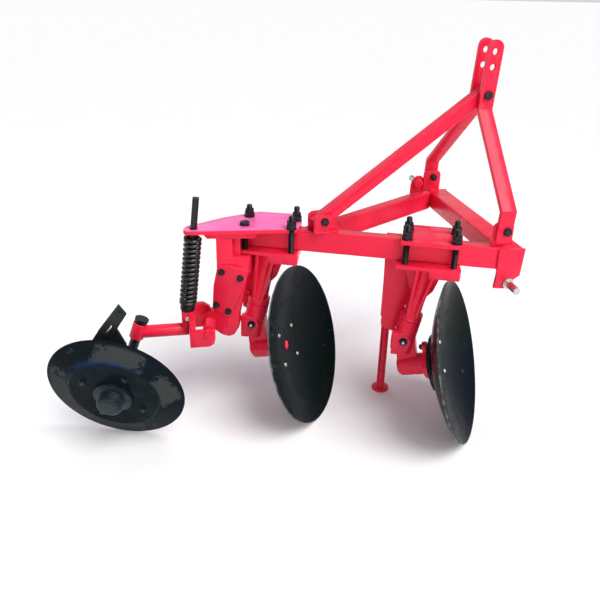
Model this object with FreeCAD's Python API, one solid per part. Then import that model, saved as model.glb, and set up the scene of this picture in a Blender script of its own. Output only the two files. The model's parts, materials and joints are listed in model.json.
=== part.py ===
import FreeCAD, Part
import math, os
from FreeCAD import Vector as V

# Mounted two-disc plough with a three-point hitch.  Millimetres.
# +X is the direction of travel, +Y is left, +Z is up.  Everything is drawn
# about O, on the middle line of the cross beam near its right end, and is
# moved at the end so that the origin is the middle of the footprint, on the
# floor.  Beam coordinates (s, n, z) run rearwards along the main beam, to the
# right across it, and up.

# ---------------------------------------------------------------- sizes
FLOOR = -763.0            # the floor, below O

BEAM_ANGLE = 21.95        # main beam, seen from above, off the line of travel
BEAM_H, BEAM_W, BEAM_T = 85.0, 62.0, 8.0
BEAM_END = 1140.0         # length from O to its rear end

CROSS_X = -2.0            # middle line of the cross beam
CROSS_H, CROSS_W, CROSS_T = 76.0, 92.0, 8.0
CROSS_R, CROSS_L = -2.0, 769.0        # its right and left ends (Y)
END_T = 12.0              # end plates

BRACE_H, BRACE_W, BRACE_T = 82.0, 55.0, 6.0   # diagonal brace tube
BRACE_A, BRACE_B = (-693.0, 340.0), (-62.0, 761.0)   # its middle line
BRACE_Z = -4.0

PIN_R, PIN_LEN, PIN_COLLAR = 14.0, 70.0, 8.0  # lower hitch pins
PIN_RIGHT, PIN_LEFT = (-8.0, -99.0), (-106.0, 74.0)    # (X, Z), one low, one high

LEG_W, LEG_T = 60.0, 18.0             # mast legs, bent flat bar
LEG_LEAN = 2.9                        # forward lean, degrees
LEG_X = -44.0
LEG_FOOT_Y, LEG_GAP = 9.0, 68.0       # foot's middle; slot for the top link
MAST_Y = 393.7                        # middle of the mast
LEG_TOP, LEG_BEND_HI, LEG_BEND_LO, LEG_FOOT = 747.0, 486.0, 180.0, 60.0
LEG_BOLT_X, LEG_BOLT_Z, LEG_BOLT_R = -36.0, 104.8, 10.0
LUG_T = 11.0
LINK_R = 12.75                        # top link pin bores
LINK_Z = (704.2, 647.1)
MAST_BOLT_Z, MAST_BOLT_R = 543.7, 10.0

STAY_H, STAY_W, STAY_T = 54.0, 45.0, 5.0      # long stay from mast to beam
STAY_S, STAY_Z = 738.0, 88.0          # its lower bolt

STUD_R, STUD_N, PLATE_T = 12.0, 58.0, 15.0

DISC_R, DISC_DISH, DISC_T = 330.0, 87.0, 6.0
DISC_AZ, DISC_TILT = 58.55, 16.44     # concave side: off -Y towards +X, and up
DISC_C = (-154.0, 0.0, FLOOR + 330.0 * math.cos(math.radians(16.44)) + 1.97)
DISC_STEP = 631.0                     # along the beam, front to rear

STEM_R, COLLAR_R, SPIGOT_R = 34.0, 45.0, 30.0
HOUSING_R, HUB_R = 45.0, 27.0

STAND_S, STAND_N = 458.0, -168.0      # parking stand: leg, and how far left
STAND_R, STAND_FOOT_R = 18.0, 38.0
STAND_TOP = -150.0

WHEEL_R = 268.6
WHEEL_AZ, WHEEL_TILT = -17.87, -17.58
WHEEL_C = (-1509.8, 104.0, FLOOR + 268.6 * math.cos(math.radians(17.58)) + 0.92)

PIVOT_0, PIVOT_1 = (-1141.0, 232.0, -350.0), (-1117.0, 380.0, -350.0)
PIVOT_R = 25.0
ARM_Y, ARM_Z, ARM_R = 315.0, -378.0, 26.0
KING_TILT = 20.0          # kingpin: top forward
KING_TOP = (-1409.0, 315.0, -338.0)
KING_R, KING_SLEEVE_R, KING_LEN = 20.0, 29.0, 68.0

# ---------------------------------------------------------------- helpers
B = math.radians(BEAM_ANGLE)
EM = V(-math.cos(B), math.sin(B), 0)   # along the beam, rearwards
EN = V(-math.sin(B), -math.cos(B), 0)  # across the beam, to the right
EZ = V(0, 0, 1)


def frame(origin, ex, ey, ez):
    m = FreeCAD.Matrix()
    m.A11, m.A21, m.A31 = ex.x, ex.y, ex.z
    m.A12, m.A22, m.A32 = ey.x, ey.y, ey.z
    m.A13, m.A23, m.A33 = ez.x, ez.y, ez.z
    m.A14, m.A24, m.A34 = origin.x, origin.y, origin.z
    return m


def moved(shape, m):
    s = shape.copy()
    s.transformShape(m, True, False)
    return s


BEAM = frame(V(0, 0, 0), EM, EN, EZ)


def on_beam(s, n, z):
    return EM * s + EN * n + EZ * z


def box(x0, x1, y0, y1, z0, z1):
    return Part.makeBox(x1 - x0, y1 - y0, z1 - z0, V(x0, y0, z0))


def cyl(p0, p1, r):
    d = p1 - p0
    return Part.makeCylinder(r, d.Length, p0, d)


def tube(p0, p1, r, ri):
    return cyl(p0, p1, r).cut(cyl(p0, p1, ri))


def prism(pts, vec):
    """A flat outline of 3-D points, extruded along vec."""
    return Part.Face(Part.makePolygon(pts + [pts[0]])).extrude(vec)


def plate_xz(pts, y0, y1):
    return prism([V(x, y0, z) for x, z in pts], V(0, y1 - y0, 0))


def plate_xy(pts, z0, z1):
    return prism([V(x, y, z0) for x, y in pts], V(0, 0, z1 - z0))


def rounded(pts, radii):
    """Closed wire through pts with its corners rounded, in 3-D."""
    n = len(pts)
    edges, prev = [], None
    first = None
    for i in range(n):
        a, b, c = pts[i - 1], pts[i], pts[(i + 1) % n]
        r = radii[i] if isinstance(radii, (list, tuple)) else radii
        u, w = (a - b), (c - b)
        u.normalize()
        w.normalize()
        half = u.getAngle(w) / 2.0
        if r <= 0 or abs(half - math.pi / 2) < 1e-4:
            p0 = p1 = b
            arc = None
        else:
            d = r / math.tan(half)
            p0, p1 = b + u * d, b + w * d
            m = (u + w)
            m.normalize()
            mid = b + m * (r / math.sin(half) - r)
            arc = Part.Arc(p0, mid, p1).toShape()
        if prev is not None and (prev - p0).Length > 1e-6:
            edges.append(Part.makeLine(prev, p0))
        if first is None:
            first = p0
        if arc:
            edges.append(arc)
        prev = p1
    if (prev - first).Length > 1e-6:
        edges.append(Part.makeLine(prev, first))
    return Part.Wire(edges)


def rounded_prism(pts, radii, vec):
    return Part.Face(rounded(pts, radii)).extrude(vec)


def rect_tube(p0, p1, w, h, t, up, r=6.0):
    """Hollow rectangular tube from p0 to p1; w is across, h is along up."""
    d = p1 - p0
    ax = V(d)
    ax.normalize()
    side = ax.cross(up)
    side.normalize()
    vert = side.cross(ax)

    def ring(a, b, rr):
        pts = [p0 + side * (i * a) + vert * (j * b)
               for i, j in ((1, 1), (-1, 1), (-1, -1), (1, -1))]
        return Part.Face(rounded(pts, rr)).extrude(d)
    return ring(w / 2, h / 2, r).cut(ring(w / 2 - t, h / 2 - t, max(r - t, 1.5)))


def revolve(profile, origin, axis, radial):
    """profile: (distance along axis, radius) points, closed."""
    pts = [origin + axis * a + radial * r for a, r in profile]
    return Part.Face(Part.makePolygon(pts + [pts[0]])).revolve(origin, axis, 360)


def bent_bar(path, t):
    """Outline in 2-D of a bar of thickness t about a bent centre line."""
    left, right = [], []
    for i, (x, y) in enumerate(path):
        dirs = []
        if i > 0:
            dirs.append((x - path[i - 1][0], y - path[i - 1][1]))
        if i < len(path) - 1:
            dirs.append((path[i + 1][0] - x, path[i + 1][1] - y))
        ns = []
        for dx, dy in dirs:
            k = math.hypot(dx, dy)
            ns.append((-dy / k, dx / k))
        nx, ny = sum(a for a, _ in ns) / len(ns), sum(b for _, b in ns) / len(ns)
        k = nx * nx + ny * ny
        nx, ny = nx / k, ny / k
        left.append((x + nx * t / 2, y + ny * t / 2))
        right.append((x - nx * t / 2, y - ny * t / 2))
    return left + right[::-1]


def on_line(p, q, t):
    return p + (q - p) * t


parts = {}

# ---------------------------------------------------------------- frame
CX0, CX1 = CROSS_X - CROSS_W / 2, CROSS_X + CROSS_W / 2
HC, HB, WB = CROSS_H / 2, BEAM_H / 2, BEAM_W / 2
parts["cross_beam"] = rect_tube(V(CROSS_X, CROSS_R, 0), V(CROSS_X, CROSS_L, 0), CROSS_W, CROSS_H, CROSS_T, EZ, 8)
beam = moved(rect_tube(V(-160, 0, 0), V(BEAM_END, 0, 0), BEAM_W, BEAM_H, BEAM_T, EZ, 8), BEAM)
beam = beam.cut(box(CX0, 400, -300, 300, -100, 100)).cut(box(-400, 400, -400, CROSS_R, -100, 100))
parts["main_beam"] = beam

b0, b1 = V(BRACE_A[0], BRACE_A[1], BRACE_Z), V(BRACE_B[0], BRACE_B[1], BRACE_Z)
bd = b1 - b0
bd.normalize()
brace = rect_tube(b0 - bd * 160, b1 + bd * 160, BRACE_W, BRACE_H, BRACE_T, EZ, 7)
brace = brace.cut(moved(box(-200, 1400, -WB, 400, -100, 100), BEAM))
brace = brace.cut(box(CX0, 400, -200, 1200, -100, 100)).cut(box(-900, 100, CROSS_L, 1200, -100, 100))
parts["frame_brace"] = brace

right_pts = [(-62, 38), (44, 38), (38, -70), (18, -84), (-20, -122), (-62, -118), (-58, -62)]
left_pts = [(-138, -34), (-138, 66), (-133, 86), (-112, 106), (-90, 108), (-77, 94), (-74, 38), (44, 38),
            (44, -38), (-130, -38)]


def pin_hole(x, z):
    return cyl(V(x, -100, z), V(x, 1000, z), PIN_R)


parts["end_plate_right"] = plate_xz(right_pts, CROSS_R - END_T, CROSS_R).cut(pin_hole(*PIN_RIGHT))
parts["end_plate_left"] = plate_xz(left_pts, CROSS_L, CROSS_L + END_T).cut(pin_hole(*PIN_LEFT))


def hitch_pin(x, z, ya, sign):
    """Lower link pin: head inside the plate, collar and stub outside it."""
    a = V(x, ya - sign * (END_T + 12), z)
    face = V(x, ya, z)
    tip = V(x, ya + sign * (PIN_COLLAR + PIN_LEN), z)
    s = cyl(a, tip, PIN_R)
    s = s.fuse(cyl(face, face + V(0, sign * PIN_COLLAR, 0), 22))
    s = s.fuse(cyl(a, a + V(0, sign * 12, 0), 20))
    hole = cyl(V(x, tip.y - sign * 14, z - 30), V(x, tip.y - sign * 14, z + 30), 5.5)
    return s.cut(hole).removeSplitter()


parts["hitch_pin_right"] = hitch_pin(*PIN_RIGHT, CROSS_R - END_T, -1)
parts["hitch_pin_left"] = hitch_pin(*PIN_LEFT, CROSS_L + END_T, 1)

# ---------------------------------------------------------------- mast
lean = FreeCAD.Matrix()
lean.move(V(-LEG_X, 0, -LEG_BOLT_Z))
lean.rotateY(math.radians(LEG_LEAN))
lean.move(V(LEG_X, 0, LEG_BOLT_Z))


def leaned(x, y, z):
    return lean.multVec(V(x, y, z))


def mirror_y(shape):
    return shape.mirror(V(0, MAST_Y, 0), V(0, 1, 0))


def bolt_y(x, z, ya, yb, r, head, nut):
    """Bolt along Y: head before ya, nut after yb."""
    s = cyl(V(x, ya - 12, z), V(x, yb + 19, z), r)
    s = s.fuse(cyl(V(x, ya - 12, z), V(x, ya, z), head))
    return s.fuse(cyl(V(x, yb, z), V(x, yb + 15, z), nut)).removeSplitter()


top_y = MAST_Y - LEG_GAP / 2 - LEG_T / 2
path = [(top_y, LEG_TOP), (top_y, LEG_BEND_HI), (LEG_FOOT_Y, LEG_BEND_LO), (LEG_FOOT_Y, LEG_FOOT)]
h = LEG_W / 2
bar = prism([V(LEG_X - h, y, z) for y, z in bent_bar(path, LEG_T)], V(LEG_W, 0, 0))
outline = [V(LEG_X - h, -50, LEG_FOOT), V(LEG_X + h, -50, LEG_FOOT),
           V(LEG_X + h, -50, LEG_TOP), V(LEG_X - h, -50, LEG_TOP)]
bar = bar.common(rounded_prism(outline, [12, 12, 30, 30], V(0, 550, 0)))
leg = moved(bar, lean)
for z, r in [(LINK_Z[0], LINK_R), (LINK_Z[1], LINK_R), (MAST_BOLT_Z, MAST_BOLT_R), (LEG_BOLT_Z, LEG_BOLT_R)]:
    p = leaned(LEG_X, 0, z) if z > LEG_BOLT_Z else V(LEG_BOLT_X, 0, z)
    leg = leg.cut(cyl(V(p.x, -60, p.z), V(p.x, 500, p.z), r))
parts["mast_leg_right"] = leg
parts["mast_leg_left"] = mirror_y(leg)

leg_in = LEG_FOOT_Y + LEG_T / 2
lug_y = leg_in + 0.5
lug = rounded_prism([V(LEG_X - 38, lug_y, HC), V(LEG_X + 44, lug_y, HC),
                     V(LEG_X + 44, lug_y, LEG_BOLT_Z + 31), V(LEG_X - 38, lug_y, LEG_BOLT_Z + 31)],
                    [0, 0, 24, 24], V(0, LUG_T, 0))
lug = lug.cut(cyl(V(LEG_BOLT_X, -60, LEG_BOLT_Z), V(LEG_BOLT_X, 300, LEG_BOLT_Z), LEG_BOLT_R))
lug = lug.cut(box(-200, CX0, -100, 100, 0, HC + 5))
parts["mast_lug_right"] = lug.cut(parts["main_beam"])
parts["mast_lug_left"] = mirror_y(lug)
foot_bolt = bolt_y(LEG_BOLT_X, LEG_BOLT_Z, LEG_FOOT_Y - LEG_T / 2, lug_y + LUG_T, LEG_BOLT_R, 16, 16)
parts["foot_bolt_right"] = foot_bolt
parts["foot_bolt_left"] = mirror_y(foot_bolt)

# the long stay, with its two bolts and its ears on the main beam
mb = leaned(LEG_X, 0, MAST_BOLT_Z)
stay_top = V(mb.x, MAST_Y, mb.z)
stay_bot = on_beam(STAY_S, 0, STAY_Z)
sd = stay_top - stay_bot
sd.normalize()
ear_dir = V(sd.x, sd.y, 0)
ear_dir.normalize()
stay_side = ear_dir.cross(EZ)         # level, across the stay
stay = rect_tube(stay_bot - sd * 34, stay_top + sd * 30, STAY_W, STAY_H, STAY_T, EZ, 7)
stay = stay.cut(cyl(V(mb.x, 200, mb.z), V(mb.x, 600, mb.z), MAST_BOLT_R))
stay = stay.cut(cyl(stay_bot - stay_side * 80, stay_bot + stay_side * 80, 10))
stay = stay.cut(box(-2000, 200, -200, 1000, -100, HB + 6))
parts["mast_stay"] = stay
parts["mast_bolt"] = bolt_y(mb.x, mb.z, top_y - LEG_T / 2, 2 * MAST_Y - top_y + LEG_T / 2, MAST_BOLT_R, 17, 17)


def ear(k):
    o = stay_bot + stay_side * (k * (STAY_W / 2 + 1) - (12 if k < 0 else 0))
    o.z = 0
    pts = [o + ear_dir * e + EZ * z for e, z in
           ((-42, HB), (60, HB), (60, 60), (30, 114), (-30, 114), (-42, 102))]
    s = rounded_prism(pts, [0, 0, 6, 24, 24, 10], stay_side * 12)
    return s.cut(cyl(stay_bot - stay_side * 80, stay_bot + stay_side * 80, 10))


parts["stay_ear_right"] = ear(1)
parts["stay_ear_left"] = ear(-1)
e0 = STAY_W / 2 + 13
sb = cyl(stay_bot + stay_side * (e0 + 12), stay_bot - stay_side * (e0 + 19), 10)
sb = sb.fuse(cyl(stay_bot + stay_side * (e0 + 12), stay_bot + stay_side * e0, 16))
sb = sb.fuse(cyl(stay_bot - stay_side * e0, stay_bot - stay_side * (e0 + 15), 16)).removeSplitter()
parts["stay_bolt"] = sb

# ---------------------------------------------------------------- clamps
front_studs = {"a": (213, STUD_N), "b": (397, STUD_N), "c": (213, -44), "d": (397, -44)}
rear_studs = {"a": (844, STUD_N), "b": (1032, STUD_N), "c": (844, -44), "d": (1040, -47)}
STUD_TOP = {"front": {"a": 113, "b": 113, "c": 113, "d": 113}, "rear": {"a": 110, "b": HB + PLATE_T, "c": 116, "d": 108}}
# the studs end flush under the flange, thick under a and c, thin under b and d
STUD_BOTTOM = {"front": {"a": -87, "b": -58, "c": -87, "d": -58}, "rear": {"a": -87, "b": -88, "c": -87, "d": -75}}


def stud_holes(shape, studs):
    for s, n in studs.values():
        shape = shape.cut(moved(cyl(V(s, n, -300), V(s, n, 300), STUD_R), BEAM))
    return shape


front_plate = plate_xy([(188, 86), (418, 86), (416, -98), (400, -117), (205, -118), (190, -100)], HB, HB + PLATE_T)
parts["front_clamp_plate"] = stud_holes(moved(front_plate, BEAM), front_studs)

rear_plate = rounded_prism([V(s, n, HB) for s, n in
                            ((819, 57), (1190, 180), (1246, 196), (1248, 130), (1215, 93), (1138, -8),
                             (1017, -116), (846, -128), (821, -40))],
                           [6, 60, 24, 20, 30, 40, 20, 10, 20], V(0, 0, PLATE_T))
rib = prism([on_beam(a, 88 + 0.3 * (a - 970), z) for a, z in ((1175, HB), (970, HB), (985, HB - 20), (1160, HB - 20))],
            EN * 12 - EM * 3.6)
rear_plate = moved(rear_plate, BEAM)
rear_plate = stud_holes(rear_plate, rear_studs)
ROD_S, ROD_N = 1211.0, 150.0
ROD_TOP = on_beam(ROD_S, ROD_N, HB + PLATE_T)

# disc axis and its frame, common to both
ca, sa = math.cos(math.radians(DISC_AZ)), math.sin(math.radians(DISC_AZ))
ct, st = math.cos(math.radians(DISC_TILT)), math.sin(math.radians(DISC_TILT))
DN = V(sa * ct, -ca * ct, st)           # out of the hollow side
DU = DN.cross(EZ)
DU.normalize()
DW = DU.cross(DN)
DC = V(*DISC_C)


def at_axis(k, w=0, u=0):
    """A point k behind the plane of the disc's rim, w up it and u across."""
    return DC - DN * k + DW * w + DU * u


# the leaning stem between the head and the carrier
STEM_TOP = on_beam(311, 14, -HB - 13)
STEM_LOW = on_beam(366, 29, -353)
stem_dir = STEM_LOW - STEM_TOP
stem_dir.normalize()


def stem_at(z):
    return on_line(STEM_TOP, STEM_LOW, (z - STEM_TOP.z) / (STEM_LOW.z - STEM_TOP.z))


COLLAR_Z, CLAMP_Z, SPIGOT_Z = -262.0, -290.0, -432.0


def standard():
    """Clamp head under the beam, a ribbed leaning stem, collar and spigot."""
    thin = moved(plate_xy([(431, 84), (300, 84), (300, -98), (400, -98), (431, -60)], -HB - 14, -HB), BEAM)
    thick = moved(plate_xy([(301, 84), (190, 84), (184, 74), (200, -98), (301, -98)], -HB - 43, -HB), BEAM)
    s = thin.fuse(thick)
    s = s.fuse(Part.makeCone(46, STEM_R, 70, STEM_TOP + stem_dir * 2, stem_dir))
    s = s.fuse(cyl(STEM_TOP, stem_at(COLLAR_Z), STEM_R))
    s = s.fuse(cyl(stem_at(COLLAR_Z), stem_at(COLLAR_Z - 22), COLLAR_R))
    s = s.fuse(cyl(stem_at(COLLAR_Z), stem_at(SPIGOT_Z), SPIGOT_R))
    for k in (-17, 17):                 # two ribs down the near face
        top, low = stem_at(-HB - 12) + EM * (k * 2.0), stem_at(COLLAR_Z - 2) + EM * k
        s = s.fuse(prism([top + EN * 10 - EM * 6, top + EN * 66 - EM * 6, low + EN * 42 - EM * 6, low + EN * 10 - EM * 6], EM * 12))
    g = [(258, -HB - 41), (262, -119), (278, -164), (297, -186), (330, -210), (330, -HB - 41)]
    s = s.fuse(prism([on_beam(a, 22, z) for a, z in g], EN * -14))
    g = [(398, -HB - 12), (372, -150), (345, -230), (330, -HB - 12)]
    s = s.fuse(prism([on_beam(a, 22, z) for a, z in g], EN * -14))
    return s.removeSplitter()


def carrier():
    """Split clamp on the stem, bearing housing across its foot, bearing flange."""
    s = cyl(stem_at(CLAMP_Z), stem_at(SPIGOT_Z), COLLAR_R)
    s = s.fuse(cyl(at_axis(128), at_axis(240), HOUSING_R)).fuse(Part.makeCone(HOUSING_R, HOUSING_R - 12, 12, at_axis(240), DN * -1))
    s = s.fuse(Part.makeCone(72, 60, 20, at_axis(117), DN * -1))
    tab = [at_axis(119, w, u) for w, u in ((30, -26), (30, 26), (88, 20), (96, 8), (96, -8), (88, -20))]
    s = s.fuse(prism(tab, DN * -16))
    ears = [(421, -358), (424, -396), (398, -435), (376, -460), (313, -449), (328, -355)]
    s = s.fuse(prism([on_beam(a, 52, z) for a, z in ears], EN * -60))
    fill = [(322, -400), (400, -400), (388, -500), (300, -500)]
    s = s.fuse(prism([on_beam(a, 46, z) for a, z in fill], EN * -44))
    s = s.cut(cyl(stem_at(CLAMP_Z + 20), stem_at(SPIGOT_Z), SPIGOT_R))
    s = s.cut(cyl(at_axis(100), at_axis(240), HUB_R + 0.4))
    return s.removeSplitter()


def disc():
    """Spherical plough disc with its bolt holes."""
    rho = (DISC_R ** 2 + DISC_DISH ** 2) / (2 * DISC_DISH)
    ro = rho + DISC_T

    def at(r, a):
        return DC + DN * (rho - DISC_DISH - r * math.cos(a)) + DW * (r * math.sin(a))
    ai, ao = math.asin(DISC_R / rho), math.asin(DISC_R / ro)
    inner = Part.Arc(at(rho, 0), at(rho, ai / 2), at(rho, ai)).toShape()
    outer = Part.Arc(at(ro, ao), at(ro, ao / 2), at(ro, 0)).toShape()
    rim = Part.makeLine(at(rho, ai), at(ro, ao))
    end = Part.makeLine(at(ro, 0), at(rho, 0))
    s = Part.Face(Part.Wire([inner, rim, outer, end])).revolve(DC, DN, 360)
    return s.cut(cyl(at_axis(60), at_axis(120), 21))


def hub():
    """Disc hub: dished plate behind the disc, and the shaft into the housing."""
    z = DISC_DISH + DISC_T
    return revolve([(-z - 4.5, 0), (-z - 4.5, 60), (-z - 1, 100), (-z + 1, 112), (-z - 9, 116), (-z - 17, 70),
                    (-z - 18.5, 50), (-z - 18.5, HUB_R), (-234, HUB_R), (-234, 0)], DC, DN, DW)


std = standard()
car = carrier().cut(std)
step = EM * DISC_STEP
for name, off in (("front", V(0, 0, 0)), ("rear", step)):
    for part, shp in (("standard", std), ("carrier", car), ("disc", disc()), ("hub", hub())):
        s = shp.copy()
        s.translate(off)
        parts["%s_%s" % (name, part)] = s
parts["front_standard"] = stud_holes(parts["front_standard"], front_studs)
parts["rear_standard"] = stud_holes(parts["rear_standard"], rear_studs)

for name, studs in (("front", front_studs), ("rear", rear_studs)):
    for k, (s, n) in studs.items():
        parts["%s_stud_%s" % (name, k)] = moved(cyl(V(s, n, STUD_BOTTOM[name][k]), V(s, n, STUD_TOP[name][k]), STUD_R), BEAM)

# ---------------------------------------------------------------- stand
# a plate on the far side of the beam, two arms, and a tube for the leg
web = prism([on_beam(s, -WB, z) for s, z in
             ((482, HB - 4), (411, HB - 4), (411, -60), (362, -60), (362, -200), (417, -388), (471, -370))], EN * -10)
for z in (-60, -352):
    web = web.fuse(moved(box(STAND_S - 20, STAND_S + 16, STAND_N, -WB - 9, z - 10, z + 10), BEAM))
bore = cyl(on_beam(STAND_S, STAND_N, -500), on_beam(STAND_S, STAND_N, 200), STAND_R + 0.5)
web = web.fuse(cyl(on_beam(STAND_S, STAND_N, -385), on_beam(STAND_S, STAND_N, -30), STAND_R + 8))
parts["stand_bracket"] = web.cut(bore).cut(parts["front_standard"]).removeSplitter()
sl = cyl(on_beam(STAND_S, STAND_N, FLOOR + 4), on_beam(STAND_S, STAND_N, STAND_TOP), STAND_R)
sl = sl.cut(cyl(on_beam(STAND_S, STAND_N, FLOOR + 40), on_beam(STAND_S, STAND_N, STAND_TOP + 5), STAND_R - 5))
sl = sl.fuse(cyl(on_beam(STAND_S, STAND_N, FLOOR), on_beam(STAND_S, STAND_N, FLOOR + 12), STAND_FOOT_R))
parts["stand_leg"] = sl.removeSplitter()

# ---------------------------------------------------------------- rear wheel gear
p0, p1 = V(*PIVOT_0), V(*PIVOT_1)
pd = p1 - p0
pd.normalize()
PIV_N = 120.0


def beam_prism(pts, n0, n1):
    return prism([on_beam(s, n1, z) for s, z in pts], EN * (n0 - n1))


# casting under the rear plate, with a hanging web out to the pivot
cast = moved(plate_xy([(1124, 146), (1124, WB), (1066, WB), (1066, 125)], -70, HB), BEAM)
cast = cast.fuse(moved(plate_xy([(1124, 146), (1124, WB), (1002, WB), (1002, 98), (1012, 110)], -134, -60), BEAM))
hang_pts = [(1124, -120), (1004, -120), (1010, -165), (1040, -300), (1041, -340), (1048, -374), (1060, -396),
            (1082, -408), (1112, -404), (1140, -388), (1166, -386), (1200, -360), (1196, -330), (1150, -300),
            (1140, -250)]
hang = beam_prism(hang_pts, PIV_N - 18, 134.5)
pivot_core = cyl(p0 - pd * 60, p1 + pd * 60, PIVOT_R)
cast = stud_holes(cast.fuse(hang).cut(pivot_core).cut(parts["rear_standard"]), rear_studs)
parts["wheel_casting"] = cast.removeSplitter()
wb = beam_prism([(1120, -87), (1062, -90), (995, -99), (1005, -149), (1067, -305), (1080, -309), (1147, -283),
                 (1140, -180)], 134.6, 148.6)
parts["wheel_bracket_plate"] = wb.cut(parts["wheel_casting"])
parts["pivot_tube"] = tube(p0, p1, PIVOT_R, 14)
yoke = plate_xz([(-1217, -300), (-1150, -300), (-1124, -318), (-1116, -340), (-1116, -372), (-1122, -398), (-1140, -409),
                 (-1217, -409)], 206, 404)
yoke = yoke.cut(box(-1300, -1000, 200, 231, -340, -200)).cut(box(-1192, -1000, 231, 381, -500, -200))
yoke = yoke.cut(cyl(p0 - pd * 80, p1 + pd * 80, 14))
yoke = yoke.cut(parts["pivot_tube"]).cut(cyl(V(-1222, ARM_Y - 20, -318), V(-1222, ARM_Y + 20, -318), 26))
parts["arm_yoke"] = yoke
parts["pivot_pin"] = cyl(p0 - pd * 36, p1 + pd * 36, 13.9)
parts["wheel_casting"] = parts["wheel_casting"].cut(yoke).cut(rib)

# kingpin sleeve and wheel arm
kt = math.radians(KING_TILT)
KD = V(-math.sin(kt), 0, -math.cos(kt))     # down the kingpin
KT = V(*KING_TOP)
parts["king_sleeve"] = tube(KT, KT + KD * KING_LEN, KING_SLEEVE_R, KING_R + 0.4)
arm = cyl(V(-1218, ARM_Y, ARM_Z), V(KT.x - 12, ARM_Y, ARM_Z), ARM_R)
parts["wheel_arm"] = arm.cut(cyl(KT - KD * 60, KT + KD * 120, KING_SLEEVE_R))

# wheel frame
wa, wt = math.radians(WHEEL_AZ), math.radians(WHEEL_TILT)
WN = V(math.sin(wa) * math.cos(wt), -math.cos(wa) * math.cos(wt), math.sin(wt))
WU = WN.cross(EZ)
WU.normalize()
WW = WU.cross(WN)
WC = V(*WHEEL_C)
# the profiles run (along the axis, outwards +; radius)
parts["wheel"] = revolve([(-3, WHEEL_R), (3, WHEEL_R), (30, 178), (36, 172), (36, 60), (26, 60), (26, 168), (22, 176),
                          (-3, WHEEL_R - 7)], WC, WN, WW)
parts["wheel_hub"] = revolve([(88, 0), (98, 0), (98, 30), (93, 46), (54, 50), (48, 75), (36.3, 75), (36.3, 59.5),
                              (25, 59.5), (25, 48), (-34, 48), (-34, 22.5), (88, 22.5)], WC, WN, WW)

# cranked axle: kingpin, a bend, and the stub in the wheel hub
king_low = KT + KD * 128
knee = WC - WN * 120
axle = cyl(KT - KD * 12, king_low, KING_R)
axle = axle.fuse(cyl(king_low, knee, 23)).fuse(Part.makeSphere(23, knee)).fuse(Part.makeSphere(23, king_low))
axle = axle.fuse(cyl(knee, WC + WN * 84, 22)).fuse(cyl(WC - WN * 50, WC - WN * 40, 34))
parts["wheel_axle"] = axle.removeSplitter()
parts["king_cap"] = cyl(KT - KD * 12.2, KT - KD * 22, 28)


def on_wheel(k, u, v):
    return WC + WN * k + WU * u + WW * v


# scraper: a plate up from the axle behind the wheel, and a bar bolted to it
blade = prism([on_wheel(-68, u, v) for u, v in ((40, 20), (66, 110), (72, 199), (27, 266), (-36, 273), (-57, 189), (-52, 110), (-40, 20))], WN * 7.8)
parts["scraper_plate"] = blade.cut(cyl(WC - WN * 90, WC - WN * 30, 22))
parts["scraper_bar"] = prism([on_wheel(-60, u, v) for u, v in ((-72, 403), (-93, 358), (-12, 232), (32, 262))], WN * 11)

# spring, its rod, and the clevis on the arm
rod_low = V(-1222, ARM_Y, -318)
rd = ROD_TOP - rod_low
rd.normalize()
rod_top = rod_low + rd * 502
rear_plate = rear_plate.fuse(rib).cut(cyl(rod_low, rod_top, 16)).removeSplitter()
parts["rear_top_plate"] = rear_plate
parts["spring"] = tube(rod_low + rd * 56, rod_low + rd * 346, 36, 24)
parts["spring_seat"] = tube(rod_low + rd * 32, rod_low + rd * 56, 30, 13.5)
clevis = box(rod_low.x - 22, rod_low.x + 22, ARM_Y - 28, ARM_Y + 28, ARM_Z + 20, -292)
clevis = clevis.cut(box(rod_low.x - 40, rod_low.x + 40, ARM_Y - 15, ARM_Y + 15, -346, -280))
parts["spring_clevis"] = clevis.cut(parts["wheel_arm"]).cut(parts["arm_yoke"])
rod = cyl(rod_low + rd * 10, rod_top, 13)
parts["spring_rod"] = rod.fuse(cyl(V(rod_low.x, ARM_Y - 14.5, rod_low.z), V(rod_low.x, ARM_Y + 14.5, rod_low.z), 16)).removeSplitter()

# ---------------------------------------------------------------- to the row frame
for name in parts:
    solids = parts[name].Solids
    if len(solids) != 1 or not parts[name].isValid():
        print("CHECK", name, "solids", len(solids), "valid", parts[name].isValid())
    if len(solids) == 1:
        parts[name] = solids[0]
total = Part.Compound(list(parts.values())).BoundBox
shift = V(-(total.XMin + total.XMax) / 2, -(total.YMin + total.YMax) / 2, -FLOOR)
os.makedirs("parts", exist_ok=True)
for name, shape in parts.items():
    shape.translate(shift)
    shape.exportStep("parts/%s.step" % name)

# ---------------------------------------------------------------- figures for the record
print("box %.1f %.1f %.1f shift %.2f %.2f %.2f" % (total.XLength, total.YLength, total.ZLength, shift.x, shift.y, shift.z))
print("lowest %.3f" % (total.ZMin - FLOOR))
solids = [(n, o) for n, s in parts.items() for o in s.Solids]
mass = sum(o.Volume for _, o in solids) * 7.85e-6
cg = V(0, 0, 0)
for _, o in solids:
    cg += o.CenterOfMass * (o.Volume * 7.85e-6 / mass)
for n, o in sorted(solids, key=lambda i: -i[1].Volume)[:24]:
    print("   %-22s %6.2f" % (n, o.Volume * 7.85e-6))
print("mass %.1f  cg %.1f %.1f %.1f" % (mass, cg.x, cg.y, cg.z))


def low_point(c, n, r):
    d = n * n.z - EZ
    d.normalize()
    return c + d * r


for n, p in (("front disc", low_point(DC, DN, DISC_R)), ("rear disc", low_point(DC + step, DN, DISC_R)),
             ("wheel", low_point(WC, WN, WHEEL_R)), ("stand", on_beam(STAND_S, STAND_N, FLOOR))):
    q = p + shift
    print("contact %-12s %.1f %.1f %.1f" % (n, q.x, q.y, q.z))


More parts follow.
